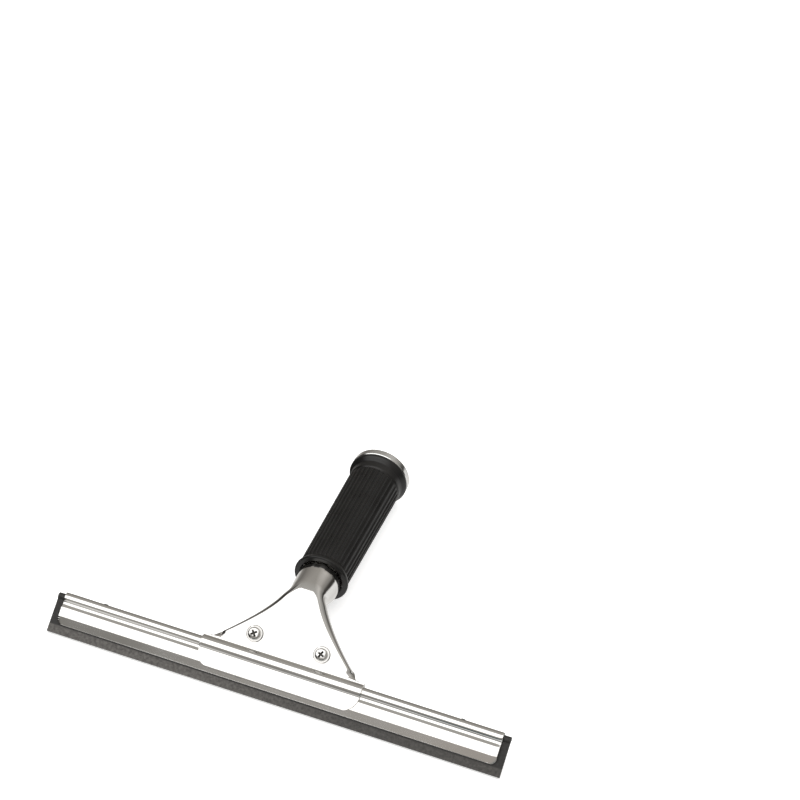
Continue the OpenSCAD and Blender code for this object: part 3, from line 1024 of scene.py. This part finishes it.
def cross_cutter(angle):
    """One tapered blade of the cross recess."""
    head_top = screw_seat + head_h
    points = []
    for z, (half_l, w) in ((head_top - cross_depth, cross_foot), (head_top + 0.2, cross_mouth)):
        for x, y in ((-half_l, -w), (half_l, -w), (half_l, w), (-half_l, w)):
            points.append((
                (x * math.cos(angle) - y * math.sin(angle)) * MM,
                (x * math.sin(angle) + y * math.cos(angle)) * MM,
                z * MM,
            ))
    mesh = bpy.data.meshes.new("cross")
    mesh.from_pydata(points, [], [
        (3, 2, 1, 0), (4, 5, 6, 7), (0, 1, 5, 4), (1, 2, 6, 5), (2, 3, 7, 6), (3, 0, 4, 7)
    ])
    face_outwards(mesh)
    return add_piece(mesh)


def mark_recess_shade(piece):
    """Marks the points that lie well below the dome as recessed, for the painted shade there."""
    marks = piece.data.attributes.new("recess", "FLOAT", "POINT")
    lowest, widest, sunk = screw_seat + 0.2, 2.3, 0.35
    for vertex, mark in zip(piece.data.vertices, marks.data):
        out, z = vertex.co.xy.length / MM, vertex.co.z / MM
        dome = screw_seat + head_h - dome_r + math.sqrt(dome_r**2 - out**2)
        mark.value = 1.0 if out < widest and lowest < z < dome - sunk else 0.0


def join(name, pieces):
    """Joins pieces into one."""
    with bpy.context.temp_override(active_object=pieces[0], selected_editable_objects=pieces):
        bpy.ops.object.join()
    pieces[0].name = name
    pieces[0].data.name = name
    return pieces[0]


screws = []
for side, point, turned in zip(SIDES, screw_points, cross_turns):
    shank = add_piece(thread_mesh(side + "_shank"), screw_steel)
    head = add_piece(head_mesh(side + "_head"), screw_steel)
    angle = math.radians(turned)
    cut(head, [cross_cutter(angle), cross_cutter(angle + math.pi / 2)])
    # the recess is marked for its painted shade
    mark_recess_shade(head)
    screw = join(side + "_machine_screw", [head, shank])
    screw.data.transform(frame_matrix(point, ALONG, FACE))
    sharpen(screw, 38)
    screws.append(screw)
print("screws:", len(screws[0].data.polygons), "faces each")

# %% [markdown]
# A split lock washer is one turn of square wire, cut through and sprung apart. The section is
# carried nearly once round, and its first part is lifted, so that the two ends stand apart.

# %% Split washers
washer_gap = math.radians(17)
washer_split = math.radians(128)
washer_edge = 0.34
spring_lift = 0.3
washer_steps = 72


def washer_mesh(name, split_at):
    """A split ring about local Z, with its ends sprung apart."""
    gap, edge = washer_gap, washer_edge
    turn = np.linspace(split_at + gap / 2, split_at + 2 * math.pi - gap / 2, washer_steps + 1)
    inner, outer = screw_r + 0.2, washer_r
    low, high = front_n + 0.02, front_n + washer_t - 0.06
    section = np.array([
        (inner + edge, low), (outer - edge, low), (outer, low + edge), (outer, high - edge),
        (outer - edge, high), (inner + edge, high), (inner, high - edge), (inner, low + edge),
    ])
    lift = spring_lift * (1 - np.arange(washer_steps + 1) / washer_steps) ** 5
    return closed_mesh(name, round_z(section[:, 0], turn[:, None], section[:, 1] + lift[:, None]))


washers = []
for side, point in zip(SIDES, screw_points):
    washer = add_piece(washer_mesh(side + "_split_washer", washer_split), washer_steel)
    washer.data.transform(frame_matrix(point, ALONG, FACE))
    sharpen(washer, 35)
    washers.append(washer)
print("washers:", len(washers[0].data.polygons), "faces each")

# %% [markdown]
# ## Everything rides on its body
# A piece stands for the design's nodes that it replaces and moves with the same body. The nodes that
# stay get their finish in their own material slots.

# %% Bodies, replaced nodes and finishes
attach(blade, "blade")
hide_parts("blade_rubber")

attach(channel, "channel_bar")
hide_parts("channel")

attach(front_jaw, "head")
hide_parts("front_jaw")

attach(back_jaw, "rear_clamp")
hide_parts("back_jaw")

for part in (grip_sleeve, grip_ribs):
    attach(part, "head")
    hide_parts("grip")

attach(end_ring, "head")
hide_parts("end_ring")

for side, screw, washer in zip(SIDES, screws, washers):
    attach(screw, side + "_bolt")
    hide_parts(side + "_screw")
    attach(washer, "head")
    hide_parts(side + "_washer")


def finish_node(name, material):
    """Gives a design node its finish."""
    node = frame["nodes"][name]
    node.data.materials.clear()
    node.data.materials.append(material)


for name in ("left_clip", "right_clip"):
    finish_node(name, spring_steel)
for name in ("left_nut", "right_nut"):
    finish_node(name, nut_steel)
finish_node("handle_tube", tube_steel)
finish_node("pole_socket", socket_plastic)
print("pieces placed")

# %% [markdown]
# ## Floor, light and camera
# Bright steel shows its surroundings more than itself. A wide white softbox over the front gives the
# flat faces their clean white, and a grey room behind and low down draws the darker lines along
# every bend. The floor is plain, nearly white and hidden from the steel's reflections, in which the
# room's own tones stand for it.

# %% Floor
floor_size = 40.0
floor_tone = (0.85, 0.85, 0.85, 1)
floor_glow = 0.6
floor_paint, floor_shader = node_material("floor_paint")
floor_shader.inputs["Base Color"].default_value = floor_tone
floor_shader.inputs["Emission Color"].default_value = (1, 1, 1, 1)
floor_shader.inputs["Emission Strength"].default_value = floor_glow
floor_shader.inputs["Roughness"].default_value = 0.9
floor_ends = (-floor_size / 2, floor_size / 2)
floor_grid = [[(x, y, 0) for x in floor_ends] for y in floor_ends]
floor = add_piece(grid_mesh("floor", floor_grid), floor_paint)
floor.visible_glossy = False

# %% [markdown]
# Two softboxes share the work. The front one, wide and shifted to the left, is seen only in
# reflections. The overhead one only lights, and gives the soft shadow.

# %% Lights
def seen_from(azimuth, elevation):
    """The direction from the origin to an eye or a lamp, from degrees round and up."""
    a, e = math.radians(azimuth), math.radians(elevation)
    return Vector((math.sin(a) * math.cos(e), -math.cos(a) * math.cos(e), math.sin(e)))


def softbox(name, azimuth, elevation, distance, size, power):
    """A rectangular area light that looks at the origin."""
    light = bpy.data.lights.new(name, "AREA")
    light.shape = "RECTANGLE"
    light.size, light.size_y = size
    light.energy = power
    lamp = bpy.data.objects.new(name, light)
    scene.collection.objects.link(lamp)
    out = seen_from(azimuth, elevation)
    lamp.location = out * distance
    lamp.rotation_euler = out.to_track_quat("Z", "Y").to_euler()
    return lamp


front_shift = -1.05
front = softbox("front_softbox", 0, 66, 1.6, (3.1, 1.9), 23)
front.location.x = front_shift
front.visible_diffuse = False
overhead = softbox("overhead_softbox", 180, 82, 1.9, (2.2, 2.2), 38)
overhead.visible_glossy = False

# %% [markdown]
# The room is seen in the steel as tones by height, with one list for each wall: the front in three
# parts, the back in two, and both sides. Every list is pale below, where the table is, and dark near
# the horizon, where the studio's far ends lie. Each wall runs into the next.

# %% Room
world = bpy.data.worlds.new("studio")
scene.world = world
world.use_nodes = True
room = world.node_tree
direction = room.nodes.new("ShaderNodeTexCoord")
split = room.nodes.new("ShaderNodeSeparateXYZ")
room.links.new(direction.outputs["Generated"], split.inputs["Vector"])
height = map_range(room, split.outputs["Z"], -1, 1)
TABLE = (-1.0, (0.90, 0.895, 0.88))
HIGH_WALL = (0.70, (0.42, 0.41, 0.395))
CEILING = (1.0, (0.42, 0.41, 0.39))
BACK_LOW = [
    (-1.0, (0.84, 0.835, 0.82)),
    (-0.50, (0.70, 0.69, 0.67)),
    (-0.25, (0.24, 0.23, 0.215)),
    (0.0, (0.17, 0.16, 0.148)),
]
BACK_LEFT_TONES = BACK_LOW + [
    (0.35, (0.27, 0.256, 0.238)),
    (0.68, (0.35, 0.335, 0.31)),
    CEILING,
]
BACK_RIGHT_TONES = BACK_LOW + [
    (0.35, (0.30, 0.286, 0.266)),
    (0.66, (0.60, 0.58, 0.55)),
    (1.0, (0.46, 0.45, 0.43)),
]
FRONT_LEFT_TONES = [
    TABLE,
    (-0.20, (0.86, 0.855, 0.84)),
    (0.0, (0.40, 0.39, 0.37)),
    (0.20, (0.40, 0.39, 0.37)),
    (0.38, (0.255, 0.248, 0.232)),
    (0.50, (0.25, 0.243, 0.228)),
    HIGH_WALL,
    CEILING,
]
FRONT_TONES = [
    TABLE,
    (-0.34, (0.84, 0.835, 0.82)),
    (-0.16, (0.27, 0.262, 0.25)),
    (0.20, (0.24, 0.233, 0.222)),
    (0.34, (0.29, 0.28, 0.265)),
    (0.50, (0.37, 0.355, 0.335)),
    HIGH_WALL,
    CEILING,
]
FRONT_RIGHT_TONES = [
    TABLE,
    (-0.34, (0.84, 0.835, 0.82)),
    (-0.16, (0.09, 0.11, 0.115)),
    (0.22, (0.11, 0.135, 0.14)),
    (0.38, (0.36, 0.345, 0.325)),
    (0.50, (0.39, 0.362, 0.335)),
    HIGH_WALL,
    CEILING,
]
LEFT_TONES = [
    (-1.0, (0.86, 0.855, 0.84)),
    (-0.92, (0.60, 0.59, 0.57)),
    (-0.80, (0.05, 0.047, 0.043)),
    (-0.1, (0.03, 0.028, 0.026)),
    (0.44, (0.045, 0.042, 0.039)),
    (0.54, (0.34, 0.333, 0.322)),
    (0.66, (0.44, 0.43, 0.415)),
    CEILING,
]
RIGHT_TONES = [
    TABLE,
    (-0.16, (0.86, 0.855, 0.84)),
    (-0.06, (0.05, 0.047, 0.043)),
    (0.13, (0.045, 0.042, 0.038)),
    (0.24, (0.22, 0.215, 0.205)),
    (0.50, (0.34, 0.332, 0.315)),
    (0.80, (0.40, 0.39, 0.375)),
    CEILING,
]


def tone_ramp(tones):
    """One wall's tones by height."""
    return colour_ramp(room, height, [((z + 1) / 2, colour) for z, colour in tones])


def blend(component, low, high, first, second):
    """Runs from one colour to another as a direction's component goes from low to high."""
    return mix_colours(room, map_range(room, split.outputs[component], low, high), first, second)


front_left, front_middle = tone_ramp(FRONT_LEFT_TONES), tone_ramp(FRONT_TONES)
front_wall = blend("X", -0.30, -0.25, front_left, front_middle)
front_wall = blend("X", -0.19, -0.165, front_wall, tone_ramp(FRONT_RIGHT_TONES))
back_wall = blend("X", -0.1, 0.35, tone_ramp(BACK_LEFT_TONES), tone_ramp(BACK_RIGHT_TONES))
ends = blend("Y", -0.15, 0.15, front_wall, back_wall)
with_right = blend("X", 0.5, 0.7, ends, tone_ramp(RIGHT_TONES))
left_wall = blend("Y", 0.53, 0.60, tone_ramp(LEFT_TONES), back_wall)
all_round = blend("X", -0.42, -0.6, with_right, left_wall)
room.links.new(all_round, room.nodes["Background"].inputs["Color"])
scene.view_settings.view_transform = "Standard"

# %% [markdown]
# The camera stands in front and a little to the right, looking down on the tool, with a long lens
# that keeps the blade's two ends nearly the same size.

# %% Camera
camera_data = bpy.data.cameras.new("camera")
camera_data.lens = 102.3
camera_data.sensor_width = 36.0
camera_data.clip_start = 0.05
camera = bpy.data.objects.new("camera", camera_data)
scene.collection.objects.link(camera)
camera_azimuth = 18.52
camera_elevation = 44.67
camera_distance = 1.3414
camera_roll = 2.89
aim = Vector((-0.0106, 0.1428, 0.015))
out = seen_from(camera_azimuth, camera_elevation)
camera.location = aim + out * camera_distance
roll = Matrix.Rotation(math.radians(camera_roll), 3, "Z")
camera.rotation_euler = (out.to_track_quat("Z", "Y").to_matrix() @ roll).to_euler()
scene.camera = camera
